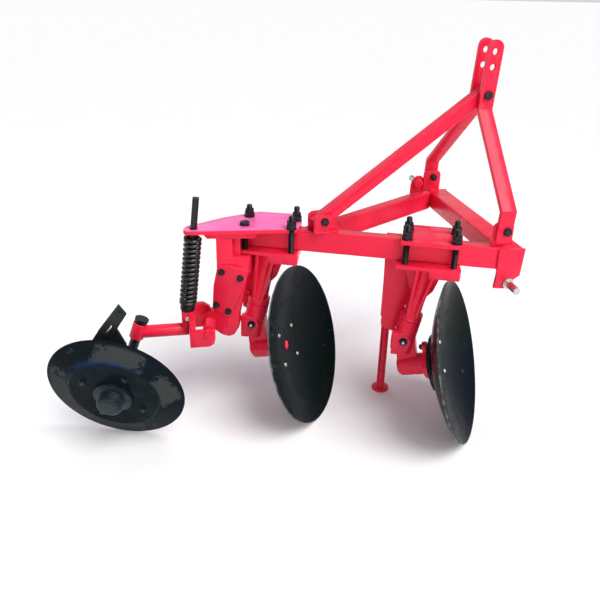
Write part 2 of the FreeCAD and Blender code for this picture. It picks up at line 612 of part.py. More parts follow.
def figure(name, p, axis=None):
    q = p + shift
    print("FIG %s %.5f %.5f %.5f %s" % (name, q.x / 1000, q.y / 1000, q.z / 1000,
                                        "%.6f %.6f %.6f" % (axis.x, axis.y, axis.z) if axis else ""))


figure("front_disc_spin", at_axis(195), DN)
figure("rear_disc_spin", at_axis(195) + step, DN)
figure("wheel_spin", WC, WN)
figure("wheel_steer", KT + KD * 40, -KD)
figure("stand_slide", on_beam(STAND_S, STAND_N, -300), EZ)
for i, z in enumerate(LINK_Z):
    p = leaned(LEG_X, 0, z)
    figure("link_%d" % i, V(p.x, MAST_Y, p.z), V(0, 1, 0))
figure("pin_right", V(PIN_RIGHT[0], CROSS_R - END_T - PIN_COLLAR, PIN_RIGHT[1]), V(0, -1, 0))
figure("pin_left", V(PIN_LEFT[0], CROSS_L + END_T + PIN_COLLAR, PIN_LEFT[1]), V(0, 1, 0))
for i, (x, y, z) in enumerate([(-30, MAST_Y - LEG_GAP / 2, 560), (60, MAST_Y + LEG_GAP / 2, 720)]):
    figure("slot_%d" % i, V(x, y, z))
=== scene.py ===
"""Mounted two-disc plough: finishes, fasteners, coil spring, welds and stage.

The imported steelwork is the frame. Each operator in the sidebar adds one group
of pieces or one set of finishes, in metres, in the plough's own frame: +X is
the direction of travel, +Y is left and +Z is up.
"""
import json
import math

import bmesh
import bpy
from bpy.props import FloatProperty, FloatVectorProperty, IntProperty, PointerProperty
from bpy.types import Operator, Panel, PropertyGroup
from mathutils import Matrix, Vector, noise

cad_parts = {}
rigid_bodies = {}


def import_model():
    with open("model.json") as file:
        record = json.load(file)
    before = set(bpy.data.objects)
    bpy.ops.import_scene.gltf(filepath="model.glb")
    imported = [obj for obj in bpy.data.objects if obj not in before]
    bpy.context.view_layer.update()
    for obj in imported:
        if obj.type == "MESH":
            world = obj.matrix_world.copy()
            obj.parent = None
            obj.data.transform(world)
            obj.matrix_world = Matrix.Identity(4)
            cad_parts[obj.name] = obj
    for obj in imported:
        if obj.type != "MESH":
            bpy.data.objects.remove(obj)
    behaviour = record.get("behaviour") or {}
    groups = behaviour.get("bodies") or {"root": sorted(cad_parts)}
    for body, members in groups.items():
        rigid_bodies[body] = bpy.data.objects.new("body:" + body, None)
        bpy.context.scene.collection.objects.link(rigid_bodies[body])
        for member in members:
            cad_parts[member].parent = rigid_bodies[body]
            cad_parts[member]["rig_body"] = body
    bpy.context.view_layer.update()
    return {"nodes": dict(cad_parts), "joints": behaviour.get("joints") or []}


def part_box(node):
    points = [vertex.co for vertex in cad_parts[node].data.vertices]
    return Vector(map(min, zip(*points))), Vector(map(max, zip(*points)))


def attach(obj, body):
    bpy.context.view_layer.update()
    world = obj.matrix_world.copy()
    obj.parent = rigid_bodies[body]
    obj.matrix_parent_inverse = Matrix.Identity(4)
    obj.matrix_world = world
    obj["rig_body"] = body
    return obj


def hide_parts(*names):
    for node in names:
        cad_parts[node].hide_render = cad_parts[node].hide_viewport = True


bl_info = {
    "name": "Disc Plough Finisher",
    "version": (1, 0, 0),
    "blender": (4, 5, 0),
    "location": "3D View > Sidebar > Plough",
    "description": "Adds finishes, fasteners, a coil spring and a stage to a two-disc plough",
    "category": "Add Mesh",
}

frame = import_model()
CAD = frame["nodes"]
JOINT = {joint["name"]: joint for joint in frame["joints"]}

MM = 0.001
UP = Vector((0, 0, 1))
CROSS_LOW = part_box("cross_beam")[0]
# the middle line of the cross beam near its right end, where the beams start
START = CROSS_LOW + Vector((48, 2, 38)) * MM
BEAM_TURN = math.radians(21.95)
ALONG = Vector((-math.cos(BEAM_TURN), math.sin(BEAM_TURN), 0))
ACROSS = Vector((-math.sin(BEAM_TURN), -math.cos(BEAM_TURN), 0))
BEAM_TOP, BEAM_SIDE = 42.5, 31.0
PLATE, WASHER = 15.0, 3.0               # thickness of the top plates and of a washer
DISC_STEP = 631                         # from one disc to the next, along the beam
DISC_BEHIND, DISC_DISH = 195, 87        # from the disc's joint to its rim plane; its depth
UNDER_BEAM = {"a": 43, "b": 14, "c": 43, "d": 14}   # clamped flange's underside, at each stud
STAY_FOOT, STAY_HEAD = (738, 0, 88), (-22, 393.7, 544)   # bolts of the mast's long stay
SPRING_FOOT, SPRING_HEAD = (-1222, 315, -318), (1211, 150, BEAM_TOP + PLATE)
HITCH_PINS = (("hitch_pin_right", -1), ("hitch_pin_left", 1))   # and the side each points to


def at(x, y, z):
    """A point given in millimetres from the start of the beams."""
    return START + Vector((x, y, z)) * MM


def on_beam(s, n, z):
    """A point s rearwards along the main beam, n to its right and z up, in millimetres."""
    return START + (ALONG * s + ACROSS * n + UP * z) * MM


def placed(origin, axis, side=UP):
    """A matrix whose Z runs along axis, with its X as near to side as it can be."""
    z = Vector(axis).normalized()
    x = Vector(side) - z * z.dot(side)
    if x.length < 1e-4:
        x = Vector((1, 0, 0)) - z * z.x
    x.normalize()
    y = z.cross(x)
    turn = Matrix((x, y, z)).transposed().to_4x4()
    return Matrix.Translation(origin) @ turn


def raised(place, height):
    """The same place, height millimetres further along its own Z."""
    return place @ Matrix.Translation((0, 0, height * MM))


def long_stay():
    """The level direction of the mast's long stay, and the one across it."""
    run = at(*STAY_HEAD) - on_beam(*STAY_FOOT)
    level = Vector((run.x, run.y, 0)).normalized()
    return level, level.cross(UP)


def spin_axis(name):
    """A joint's centre and the direction of its axis."""
    joint = JOINT[name]
    return Vector(joint["pos_m"]), Vector(joint["axis"]).normalized()


# ---------------------------------------------------------------- mesh tools
def add_lathe(bm, profile, place, steps=32):
    """Spins (height, radius) points, in millimetres, about the local Z axis."""
    ring = [bm.verts.new((radius * MM, 0, height * MM)) for height, radius in profile]
    edges = [bm.edges.new(pair) for pair in zip(ring, ring[1:])]
    bmesh.ops.spin(bm, geom=ring + edges, cent=(0, 0, 0), axis=(0, 0, 1), angle=math.tau,
                   steps=steps, use_merge=True, use_duplicate=False)
    linked = set(ring)
    grow = list(ring)
    while grow:
        for edge in grow.pop().link_edges:
            for vert in edge.verts:
                if vert not in linked:
                    linked.add(vert)
                    grow.append(vert)
    bmesh.ops.transform(bm, matrix=place, verts=list(linked))


def round_edges(bm, verts, width, segments):
    """Rounds every edge that the given corners have, by a width in millimetres."""
    edges = {edge for vert in verts for edge in vert.link_edges}
    bmesh.ops.bevel(bm, geom=list(edges), offset=width * MM, segments=segments, profile=0.5,
                    affect="EDGES", material=-1)


def add_hexagon(bm, place, width, height, soften=0.8):
    """A hexagon head or nut, width across its flats, standing on its place."""
    corner = width * MM / math.sqrt(3)
    verts = bmesh.ops.create_cone(bm, cap_ends=True, segments=6, radius1=corner,
                                  radius2=corner, depth=height * MM)["verts"]
    bmesh.ops.translate(bm, vec=(0, 0, height * MM / 2), verts=verts)
    bmesh.ops.transform(bm, matrix=place, verts=verts)
    round_edges(bm, verts, soften, 2)


def add_washer(bm, place, radius, hole, thick=WASHER):
    """A flat ring with a broken edge, standing on its place."""
    add_lathe(bm, [(0, hole), (0, radius - 0.6), (0.6, radius), (thick - 0.6, radius),
                   (thick, radius - 0.6), (thick, hole), (0, hole)], place, 28)


def thread(low, high, radius, pitch=2.5):
    """The outline of a threaded rod from low to high, with a chamfered end."""
    outline = [(low, 0), (low, radius * 0.9)]
    turns = max(1, int((high - low - 3) / pitch))
    for turn in range(turns):
        base = low + 1 + turn * pitch
        outline += [(base, radius * 0.9), (base + pitch / 2, radius)]
    outline += [(high - 1.6, radius * 0.9), (high, radius * 0.74), (high, 0)]
    return outline


def add_plate(bm, corners, low, high, soften=3.0):
    """A plate along the main beam: its (s, z) corners, from n = low to n = high."""
    ring = [bm.verts.new(on_beam(s, low, z)) for s, z in corners]
    face = bm.faces.new(ring)
    grown = bmesh.ops.extrude_face_region(bm, geom=[face])["geom"]
    far = [item for item in grown if isinstance(item, bmesh.types.BMVert)]
    bmesh.ops.translate(bm, vec=ACROSS * (high - low) * MM, verts=far)
    round_edges(bm, ring + far, soften, 3)


def add_weld(bm, start, end, radius=4.5, pitch=5.0):
    """A rippled bead of weld between two points."""
    half = (end - start).length / 2 / MM
    count = max(8, int(half * 2 / pitch * 4))
    outline = [(-half, 0)]
    for index in range(count + 1):
        height = -half + 2 * half * index / count
        wave = 0.5 + 0.5 * math.cos(math.tau * height / pitch)
        lump = noise.noise(start * 9 + Vector((height * 0.09, 0, 0)))
        fade = min(1.0, 0.45 + (half - abs(height)) / radius)
        outline.append((height, radius * fade * (0.84 + 0.16 * wave + 0.14 * lump)))
    outline.append((half, 0))
    add_lathe(bm, outline, placed((start + end) / 2, end - start), 12)


def add_bar(bm, name, spots, radius, resolution):
    """A round bar bent through the given spots; its radius is in millimetres."""
    curve = bpy.data.curves.new(name, "CURVE")
    curve.dimensions = "3D"
    curve.bevel_depth = radius * MM
    curve.bevel_resolution = resolution
    curve.use_fill_caps = True
    line = curve.splines.new("POLY")
    line.points.add(len(spots) - 1)
    for point, spot in zip(line.points, spots):
        point.co = (*spot, 1)
    holder = bpy.data.objects.new(name, curve)
    bpy.context.scene.collection.objects.link(holder)
    graph = bpy.context.evaluated_depsgraph_get()
    bm.from_mesh(bpy.data.meshes.new_from_object(holder.evaluated_get(graph)))
    bpy.data.objects.remove(holder)


def make_piece(bm, name, body, finish, stands_for=(), sharp=38.0):
    """Turns a finished bmesh into a piece that rides on a body of the plough."""
    bmesh.ops.remove_doubles(bm, verts=bm.verts, dist=2e-6)
    bmesh.ops.recalc_face_normals(bm, faces=bm.faces)
    mesh = bpy.data.meshes.new(name)
    bm.to_mesh(mesh)
    bm.free()
    if not mesh.polygons:
        raise RuntimeError(f"{name} has no faces")
    mesh.polygons.foreach_set("use_smooth", [True] * len(mesh.polygons))
    mesh.set_sharp_from_angle(angle=math.radians(sharp))
    mesh.materials.append(finish)
    piece = bpy.data.objects.new(name, mesh)
    bpy.context.scene.collection.objects.link(piece)
    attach(piece, body)
    if stands_for:
        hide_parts(*stands_for)
    return piece


# ---------------------------------------------------------------- finishes
class Finish:
    """A material under construction, with short calls for its nodes."""

    def __init__(self, name, **sockets):
        self.material = bpy.data.materials.new(name)
        self.material.use_nodes = True
        self.tree = self.material.node_tree
        self.shader = self.tree.nodes["Principled BSDF"]
        for socket, value in sockets.items():
            self.shader.inputs[socket.replace("_", " ")].default_value = value
        self.place = self.tree.nodes.new("ShaderNodeTexCoord").outputs["Object"]
        self.heights = []

    def link(self, source, target):
        self.tree.links.new(source, target)

    def times(self, a, b):
        return self.maths("MULTIPLY", a, b)

    def noise(self, scale, detail=4.0, roughness=0.55, distortion=0.0, stretch=None):
        place = self.place
        if stretch:
            mapping = self.tree.nodes.new("ShaderNodeMapping")
            mapping.inputs["Scale"].default_value = stretch
            self.link(place, mapping.inputs["Vector"])
            place = mapping.outputs["Vector"]
        node = self.tree.nodes.new("ShaderNodeTexNoise")
        node.inputs["Scale"].default_value = scale
        node.inputs["Detail"].default_value = detail
        node.inputs["Roughness"].default_value = roughness
        node.inputs["Distortion"].default_value = distortion
        self.link(place, node.inputs["Vector"])
        return node.outputs["Fac"]

    def spread(self, value, low, high, to_low=0.0, to_high=1.0):
        node = self.tree.nodes.new("ShaderNodeMapRange")
        node.inputs["From Min"].default_value = low
        node.inputs["From Max"].default_value = high
        node.inputs["To Min"].default_value = to_low
        node.inputs["To Max"].default_value = to_high
        self.link(value, node.inputs["Value"])
        return node.outputs["Result"]

    def maths(self, operation, a, b):
        node = self.tree.nodes.new("ShaderNodeMath")
        node.operation = operation
        for socket, value in zip(node.inputs, (a, b)):
            if isinstance(value, (int, float)):
                socket.default_value = value
            else:
                self.link(value, socket)
        return node.outputs["Value"]

    def blend(self, amount, a, b):
        node = self.tree.nodes.new("ShaderNodeMix")
        node.data_type = "RGBA"
        self.link(amount, node.inputs["Factor"])
        for socket, value in ((node.inputs[6], a), (node.inputs[7], b)):
            if isinstance(value, bpy.types.NodeSocket):
                self.link(value, socket)
            else:
                socket.default_value = (*value[:3], 1.0)
        return node.outputs[2]

    def height(self, value, strength, distance):
        """Adds a layer of surface relief, one bump on top of the last."""
        node = self.tree.nodes.new("ShaderNodeBump")
        node.inputs["Strength"].default_value = strength
        node.inputs["Distance"].default_value = distance
        self.link(value, node.inputs["Height"])
        if self.heights:
            self.link(self.heights[-1], node.inputs["Normal"])
        self.heights.append(node.outputs["Normal"])
        self.link(node.outputs["Normal"], self.shader.inputs["Normal"])

    def set(self, socket, value):
        self.link(value, self.shader.inputs[socket])

    def vector(self, operation, a, b=None):
        """A vector node, of a socket and, where it needs one, a fixed vector."""
        node = self.tree.nodes.new("ShaderNodeVectorMath")
        node.operation = operation
        if b is not None:
            node.inputs[1].default_value = b
        self.link(a, node.inputs[0])
        return node

    def facing(self, axis):
        """How far the surface faces a direction of the plough, 0 to 1."""
        normal = self.tree.nodes.new("ShaderNodeNewGeometry").outputs["Normal"]
        return self.spread(self.vector("DOT_PRODUCT", normal, axis).outputs["Value"], 0.2, 1.0)

    def distance_from(self, point, axis=None):
        """Distance from a point, or from a line through it, in metres."""
        source = self.vector("SUBTRACT", self.place, point).outputs["Vector"]
        if axis is not None:
            source = self.vector("CROSS_PRODUCT", source, axis).outputs["Vector"]
        return self.vector("LENGTH", source).outputs["Value"]


def red_enamel(name, colour, cast=False, painted_sky_reflection=None):
    """Sprayed gloss enamel; the cast version shows the sand it was poured in, and the other version has a
    painted pink-violet sky reflection on its upward faces.
    """
    finish = Finish(name, Roughness=0.34, Coat_Weight=0.10, Coat_Roughness=0.15, IOR=1.45,
                    Specular_IOR_Level=0.22)
    deep = tuple(c * 0.78 for c in colour)
    patches = finish.spread(finish.noise(3.2, 5.0, 0.6), 0.3, 0.72)
    base = finish.blend(patches, colour, deep)
    speck = finish.spread(finish.noise(260.0, 2.0), 0.66, 0.74)
    dusty = tuple(min(1.0, c * 0.9 + 0.09) for c in colour)
    upward = finish.facing((0, 0, 1))
    dust = finish.times(upward, finish.spread(finish.noise(9.0, 6.0), 0.42, 0.75))
    base = finish.blend(finish.times(dust, 0.38), base, dusty)
    base = finish.blend(finish.times(speck, 0.30), base, (0.25, 0.02, 0.03))
    # painted reflection: upward faces tinted pink-violet as if they mirrored the sky
    if painted_sky_reflection:
        painted_reflection_cover = finish.spread(finish.noise(4.0, 4.0), 0.2, 0.7, 0.35, 0.85)
        painted_reflection_cover = finish.times(upward, painted_reflection_cover)
        base = finish.blend(painted_reflection_cover, base, painted_sky_reflection)
    finish.set("Base Color", base)
    finish.set("Roughness", finish.spread(finish.noise(24.0, 5.0, 0.7), 0.3, 0.75, 0.22, 0.42))
    finish.height(finish.noise(210.0, 3.0), 0.25 if cast else 0.10, 0.0012)
    finish.height(finish.noise(34.0, 4.0), 0.75 if cast else 0.16, 0.004)
    if cast:
        finish.height(finish.noise(12.0, 3.0), 0.55, 0.008)
    return finish.material


def black_hardware(name, colour, gloss=0.40):
    """Oiled black bolts: nearly smooth, with a little grime."""
    finish = Finish(name, Metallic=0.25, IOR=1.5, Specular_IOR_Level=gloss)
    grime = finish.spread(finish.noise(70.0, 5.0, 0.7), 0.4, 0.7)
    finish.set("Base Color", finish.blend(grime, colour, tuple(c * 2.6 + 0.01 for c in colour)))
    finish.set("Roughness", finish.spread(finish.noise(46.0, 4.0), 0.3, 0.7, 0.26, 0.52))
    finish.height(finish.noise(330.0, 2.0), 0.16, 0.0008)
    return finish.material


def coil_paint(name):
    """Thick black paint on the coil, glossy on the outside of each turn."""
    finish = Finish(name, Coat_Weight=0.12, Coat_Roughness=0.15, Specular_IOR_Level=0.65)
    worn = finish.spread(finish.noise(120.0, 4.0, 0.7), 0.62, 0.72)
    finish.set("Base Color", finish.blend(worn, (0.005, 0.005, 0.008), (0.05, 0.05, 0.06)))
    finish.set("Roughness", finish.spread(finish.noise(60.0), 0.3, 0.7, 0.25, 0.45))
    finish.height(finish.noise(180.0, 3.0), 0.2, 0.001)
    return finish.material


DULL = 0.035                            # dark paint that hardly mirrors the sky
RUBBED = (0.16, 0.19, 0.19)             # where the paint has worn through to steel


def disc_paint(name, joint, green, blue):
    """Gloss black-green paint on a disc, with cool patches and rubbed marks."""
    origin, axis = spin_axis(joint)
    finish = Finish(name, IOR=1.5, Specular_IOR_Level=DULL)
    sweep = finish.spread(finish.noise(3.6, 3.0, 0.5, 0.6), 0.42, 0.62)
    base = finish.blend(sweep, green, blue)
    haze = finish.spread(finish.noise(14.0, 6.0, 0.7), 0.52, 0.8)
    base = finish.blend(finish.times(haze, 0.35), base, (0.012, 0.019, 0.020))
    streak = finish.spread(finish.noise(9.0, 6.0, 0.75, 0.4, (1, 1, 5)), 0.645, 0.70)
    radius = finish.distance_from(origin, axis)
    ring = finish.spread(radius, 0.22, 0.30)
    marks = finish.times(streak, ring)
    base = finish.blend(marks, base, RUBBED)
    rim = finish.spread(radius, 0.3265, 0.3295)
    rim = finish.times(rim, finish.spread(finish.noise(40.0, 4.0), 0.40, 0.6, 0.25, 0.9))
    base = finish.blend(rim, base, RUBBED)
    finish.set("Base Color", base)
    finish.set("Roughness", finish.spread(finish.noise(18.0, 5.0, 0.7), 0.3, 0.75, 0.16, 0.40))
    finish.height(finish.noise(7.0, 4.0), 0.30, 0.006)
    finish.height(finish.noise(260.0, 2.0), 0.05, 0.0006)
    return finish.material


# (up the wheel, across it, reach) of the large patches of dust, in metres
DUST_PATCHES = ((0.19, -0.05, 0.15), (0.04, -0.19, 0.12), (-0.02, 0.25, 0.17), (-0.22, 0.04, 0.15))


def wheel_paint(name, dark, dust_colour):
    """Black wheel paint with large dusty grey patches and a painted blue sheen near the top of the flange."""
    origin, axis = spin_axis("wheel_spin")
    finish = Finish(name, IOR=1.5, Specular_IOR_Level=DULL)
    shade = finish.spread(finish.noise(5.0, 4.0), 0.35, 0.7)
    base = finish.blend(shade, dark, tuple(c * 0.55 for c in dark))
    radius = finish.distance_from(origin, axis)
    band = finish.times(finish.spread(radius, 0.176, 0.186), finish.spread(radius, 0.262, 0.250))
    side = placed(origin, axis)
    near = None
    for high, across, reach in DUST_PATCHES:
        spot = side @ Vector((high, across, 0.01))
        patch = finish.spread(finish.distance_from(spot), reach, reach * 0.25)
        near = patch if near is None else finish.maths("MAXIMUM", near, patch)
    ragged = finish.maths("ADD", finish.noise(9.0, 7.0, 0.74, 0.3), finish.times(near, 0.26))
    dusty = finish.times(finish.spread(ragged, 0.60, 0.64), band)
    grain = finish.spread(finish.noise(120.0, 4.0, 0.7), 0.3, 0.7, 0.62, 1.0)
    dusty = finish.times(dusty, grain)
    base = finish.blend(dusty, base, dust_colour)
    flange = finish.times(finish.spread(radius, 0.182, 0.172),
                          finish.spread(finish.noise(22.0, 5.0), 0.45, 0.7))
    base = finish.blend(finish.times(flange, 0.30), base, tuple(c * 0.5 for c in dust_colour))
    # painted sheen: a blue arc near the top of the flange that stands in for a reflection
    painted_sheen_arc = finish.times(finish.spread(radius, 0.168, 0.178), finish.spread(radius, 0.200, 0.190))
    top = side @ Vector((0.18, 0.02, 0.01))
    painted_sheen_arc = finish.times(painted_sheen_arc, finish.spread(finish.distance_from(top), 0.16, 0.06))
    painted_sheen_arc = finish.times(painted_sheen_arc, finish.spread(finish.noise(30.0, 5.0), 0.35, 0.6))
    base = finish.blend(finish.times(painted_sheen_arc, 0.75), base, (0.010, 0.040, 0.105))
    chip = finish.spread(finish.noise(60.0, 5.0, 0.8), 0.72, 0.75)
    base = finish.blend(finish.times(chip, 0.5), base, (0.16, 0.18, 0.19))
    finish.set("Base Color", base)
    sheen = finish.spread(finish.noise(16.0, 5.0), 0.3, 0.7, 0.20, 0.36)
    finish.set("Roughness", finish.maths("ADD", sheen, finish.times(dusty, 0.45)))
    finish.height(finish.noise(150.0, 3.0), 0.12, 0.001)
    finish.height(finish.noise(10.0, 4.0), 0.25, 0.005)
    return finish.material


def scraper_paint(name):
    """Thin dark green paint, rubbed to a warm grey by the soil."""
    finish = Finish(name, Specular_IOR_Level=0.2)
    shade = finish.spread(finish.noise(20.0, 5.0, 0.7), 0.35, 0.7)
    finish.set("Base Color", finish.blend(shade, (0.010, 0.022, 0.020), (0.035, 0.03, 0.03)))
    finish.set("Roughness", finish.spread(finish.noise(33.0), 0.3, 0.7, 0.35, 0.6))
    finish.height(finish.noise(140.0, 3.0), 0.2, 0.001)
    return finish.material


def turned_steel(name, colour):
    """Bare steel with the fine rings that a lathe leaves."""
    finish = Finish(name, Metallic=1.0)
    stain = finish.spread(finish.noise(30.0, 5.0, 0.7), 0.45, 0.7)
    finish.set("Base Color", finish.blend(finish.times(stain, 0.5), colour, (0.30, 0.27, 0.24)))
    finish.set("Roughness", finish.spread(finish.noise(90.0, 4.0, 0.6, 0, (1, 14, 1)), 0.3, 0.7, 0.18, 0.42))
    finish.height(finish.noise(160.0, 2.0, 0.5, 0, (1, 12, 1)), 0.12, 0.0006)
    return finish.material


FINISHES = {}
RED_SLOT, BLACK_SLOT, DISC_SLOT = "red_enamel", "black_paint", "disc_black"
HUB_SLOT, WHEEL_SLOT, STEEL_SLOT = "hub_black", "wheel_black", "bare_steel"
CAST_NODES = ("front_standard", "rear_standard", "front_carrier", "rear_carrier", "wheel_casting", "arm_yoke",
              "king_sleeve")
RED_NODES = ("cross_beam", "main_beam", "frame_brace", "end_plate_right", "end_plate_left",
             "mast_leg_right", "mast_leg_left", "mast_lug_right", "mast_lug_left", "mast_stay",
             "stay_ear_right", "stay_ear_left", "front_clamp_plate", "rear_top_plate",
             "stand_bracket", "stand_leg", "wheel_bracket_plate", "pivot_tube", "wheel_arm",
             "spring_clevis")
PLAIN_NODES = {"spring_seat": "black", "spring_rod": "black", "king_cap": "black", "wheel_axle": "black",
               "pivot_pin": "red", "scraper_bar": "scraper", "scraper_plate": "scraper",
               "front_hub": "hub", "rear_hub": "hub", "hitch_pin_right": "steel", "hitch_pin_left": "steel",
               "wheel_hub": "wheel_hub"}


# ---------------------------------------------------------------- settings
class PloughFinishSettings(PropertyGroup):
    """Colours of the paints and metals."""
    enamel: FloatVectorProperty(name="Enamel", description="Colour of the red enamel", subtype="COLOR",
                                default=(0.88, 0.016, 0.060), min=0, max=1)
    hardware: FloatVectorProperty(name="Hardware", description="Colour of bolts, nuts and studs",
                                  subtype="COLOR", default=(0.006, 0.006, 0.008), min=0, max=1)
    disc_green: FloatVectorProperty(name="Disc", description="Main colour of the disc paint", subtype="COLOR",
                                    default=(0.0022, 0.0070, 0.0062), min=0, max=1)
    disc_blue: FloatVectorProperty(name="Disc patches", description="Cooler patches in the disc paint",
                                   subtype="COLOR", default=(0.0030, 0.0050, 0.0110), min=0, max=1)
    wheel: FloatVectorProperty(name="Wheel", description="Colour of the wheel paint", subtype="COLOR",
                               default=(0.004, 0.010, 0.014), min=0, max=1)
    dust: FloatVectorProperty(name="Dust", description="Colour of the dust on the wheel", subtype="COLOR",
                              default=(0.050, 0.056, 0.054), min=0, max=1)
    steel: FloatVectorProperty(name="Steel", description="Colour of bare steel", subtype="COLOR",
                               default=(0.62, 0.60, 0.57), min=0, max=1)


class PloughSizeSettings(PropertyGroup):
    """Sizes of the fasteners, the coil and the softened edges."""
    edge: FloatProperty(name="Edge", description="Width of the softened edges", unit="LENGTH",
                        default=0.0016, min=0.0002, max=0.005)
    nut: FloatProperty(name="Stud nut", description="Width across the flats of the clamp nuts", unit="LENGTH",
                       default=0.036, min=0.02, max=0.05)
    wire: FloatProperty(name="Wire", description="Thickness of the spring's wire", unit="LENGTH",
                        default=0.0142, min=0.004, max=0.018)
    turns: IntProperty(name="Turns", description="Number of turns in the spring", default=15, min=3, max=40)
    key_light: FloatProperty(name="Key light", description="Power of the main light", unit="POWER",
                             default=36.0, min=0, max=5000)


# ---------------------------------------------------------------- operators
class PLOUGH_OT_finishes(Operator):
    """Mix the paints and metals and put them on the steelwork"""
    bl_idname = "plough.finishes"
    bl_label = "Finishes"

    def execute(self, context):
        paint = context.scene.plough_finish
        enamel = tuple(paint.enamel)
        FINISHES["red"] = red_enamel("red_enamel", enamel)
        FINISHES["cast"] = red_enamel("red_enamel_cast", enamel, cast=True)
        # enamel with a painted pink-violet sky reflection on its upward faces
        FINISHES["painted_sky_reflection"] = red_enamel("red_enamel_painted_reflection", enamel, painted_sky_reflection=(0.93, 0.20, 0.58))
        FINISHES["black"] = black_hardware("black_hardware", tuple(paint.hardware))
        FINISHES["coil"] = coil_paint("coil_paint")
        for end in ("front", "rear"):
            FINISHES[end + "_disc"] = disc_paint("disc_paint_" + end, end + "_disc_spin",
                                                 paint.disc_green, paint.disc_blue)
        FINISHES["hub"] = black_hardware("hub_paint", (0.004, 0.012, 0.014))
        FINISHES["wheel"] = wheel_paint("wheel_paint", tuple(paint.wheel), tuple(paint.dust))
        FINISHES["wheel_hub"] = black_hardware("wheel_hub_paint", (0.002, 0.008, 0.012), 0.32)
        FINISHES["scraper"] = scraper_paint("scraper_paint")
        FINISHES["steel"] = turned_steel("turned_steel", tuple(paint.steel))
        for node, key in PLAIN_NODES.items():
            self.paint(node, FINISHES[key])
        for node in ("front_disc", "rear_disc", "wheel"):
            self.paint(node, FINISHES[node])
        for node in RED_NODES:
            self.paint(node, FINISHES["red"])
        for node in CAST_NODES:
            self.paint(node, FINISHES["cast"])
        return {"FINISHED"}

    def paint(self, node, material):
        CAD[node].data.materials.clear()
        CAD[node].data.materials.append(material)


class PLOUGH_OT_soften(Operator):
    """Give the painted steelwork the rounded edges that rolled and cut steel has"""
    bl_idname = "plough.soften"
    bl_label = "Soften Edges"

    def execute(self, context):
        width = context.scene.plough_size.edge
        for node in RED_NODES + CAST_NODES:
            source = CAD[node]
            bm = bmesh.new()
            bm.from_mesh(source.data)
            bmesh.ops.remove_doubles(bm, verts=bm.verts, dist=1e-5)
            bmesh.ops.dissolve_limit(bm, angle_limit=math.radians(0.6), verts=bm.verts, edges=bm.edges)
            edges = [e for e in bm.edges if len(e.link_faces) == 2
                     and math.degrees(e.calc_face_angle(0.0)) > 34 and e.calc_length() > width * 0.8]
            reach = width * (1.5 if node in CAST_NODES else 1.0)
            bmesh.ops.bevel(bm, geom=edges, offset=reach, segments=2, profile=0.5, affect="EDGES",
                            clamp_overlap=True, material=-1)
            bmesh.ops.triangulate(bm, faces=[f for f in bm.faces if len(f.verts) > 4])
            finish = FINISHES["cast" if node in CAST_NODES else "red"]
            # the rear top plate takes the enamel with a painted pink-violet sky reflection
            if node == "rear_top_plate":
                finish = FINISHES["painted_sky_reflection"]
            mesh = bpy.data.meshes.new(node + "_soft")
            bm.to_mesh(mesh)
            bm.free()
            mesh.polygons.foreach_set("use_smooth", [True] * len(mesh.polygons))
            mesh.set_sharp_from_angle(angle=math.radians(40))
            mesh.materials.append(finish)
            piece = bpy.data.objects.new(node + "_soft", mesh)
            context.scene.collection.objects.link(piece)
            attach(piece, source["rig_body"])
            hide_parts(node)
        return {"FINISHED"}


class PLOUGH_OT_studs(Operator):
    """Cut the threads on the clamp studs and run their nuts on"""
    bl_idname = "plough.studs"
    bl_label = "Clamp Studs"

    def execute(self, context):
        nut = context.scene.plough_size.nut / MM
        for name in ("front", "rear"):
            for letter in "abcd":
                self.stud(name, letter, nut)
        return {"FINISHED"}

    def stud(self, name, letter, nut):
        node = f"{name}_stud_{letter}"
        low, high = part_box(node)
        middle = (low + high) / 2
        place = Matrix.Translation((middle.x, middle.y, START.z))
        bottom, top = (low.z - START.z) / MM, (high.z - START.z) / MM
        radius = (high.x - low.x) / 2 / MM
        plate = BEAM_TOP + PLATE
        seat = raised(place, plate)
        bm = bmesh.new()
        turn = Matrix.Rotation(0.35 + 0.9 * ord(letter), 4, "Z")
        if top < plate + 5:                     # a bolt, its head on the plate
            add_lathe(bm, thread(bottom, plate, radius - 0.2), place, 20)
            add_washer(bm, seat, 20, radius * 0.6)
            add_hexagon(bm, raised(place, plate + WASHER) @ turn, nut - 2, 11)
        else:                                   # a stud, with a nut and a thin lock nut
            add_lathe(bm, thread(bottom, top, radius - 0.2), place, 20)
            add_washer(bm, seat, 21, radius)
            add_hexagon(bm, raised(place, plate + WASHER) @ turn, nut, 17)
            lock = raised(place, plate + WASHER + 17.4) @ turn @ Matrix.Rotation(0.5, 4, "Z")
            add_hexagon(bm, lock, nut - 3, 13)
        flange = -BEAM_TOP - UNDER_BEAM[letter]
        height = min(16.0, flange - bottom)
        if height > 10:                         # the stud reaches far enough down for a nut
            add_hexagon(bm, raised(place, flange - height) @ turn, nut - 2, height)
        make_piece(bm, f"{name}_clamp_stud_{letter}", "frame", FINISHES["black"], (node,))


